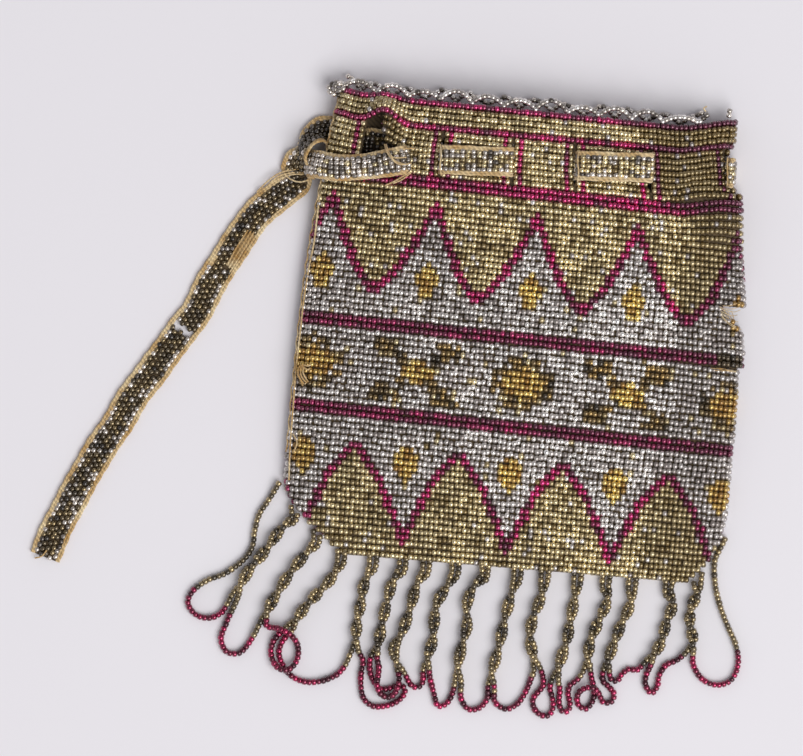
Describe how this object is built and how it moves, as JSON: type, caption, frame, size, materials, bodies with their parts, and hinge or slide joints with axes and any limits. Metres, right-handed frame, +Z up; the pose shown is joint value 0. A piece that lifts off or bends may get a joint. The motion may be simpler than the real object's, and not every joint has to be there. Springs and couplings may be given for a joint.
{
  "type": "beaded pouch",
  "caption": "Flat drawstring pouch woven from metallic seed beads, with scalloped mouth edging, a laced bead strap and a fringe of twisted bead loops.",
  "frame": {"origin": "middle of the pouch without its strap and fringe, on the surface that it lies on", "axes": "+X along the bead rows to the viewer's right, +Y towards the mouth, +Z up from the surface"},
  "size_m": [0.2189, 0.1916, 0.0147],
  "materials": {
    "woven_beads": "loom-woven metallised seed beads in silver, khaki, magenta and gilt",
    "silver_beads": "string of bright silver-lined seed beads",
    "cotton_thread": "twisted cream cotton thread",
    "strap_beads": "loom-woven dark bronze and silver seed beads with cream selvedges",
    "fringe_beads": "strung dark khaki seed beads, magenta at the loop ends"
  },
  "bodies": {
    "root": {"woven_body": "woven_beads", "front_picot_edging": "silver_beads", "back_picot_edging": "silver_beads", "seam_thread": "cotton_thread", "drawstring_strap": "strap_beads", "fringe_loop_01": "fringe_beads", "fringe_loop_02": "fringe_beads", "fringe_loop_03": "fringe_beads", "fringe_loop_04": "fringe_beads", "fringe_loop_05": "fringe_beads", "fringe_loop_06": "fringe_beads", "fringe_loop_07": "fringe_beads", "fringe_loop_08": "fringe_beads", "fringe_loop_09": "fringe_beads", "fringe_loop_10": "fringe_beads", "fringe_loop_11": "fringe_beads", "fringe_loop_12": "fringe_beads", "fringe_loop_13": "fringe_beads", "fringe_loop_14": "fringe_beads", "fringe_loop_15": "fringe_beads", "fringe_loop_16": "fringe_beads"}
  },
  "joints": []
}
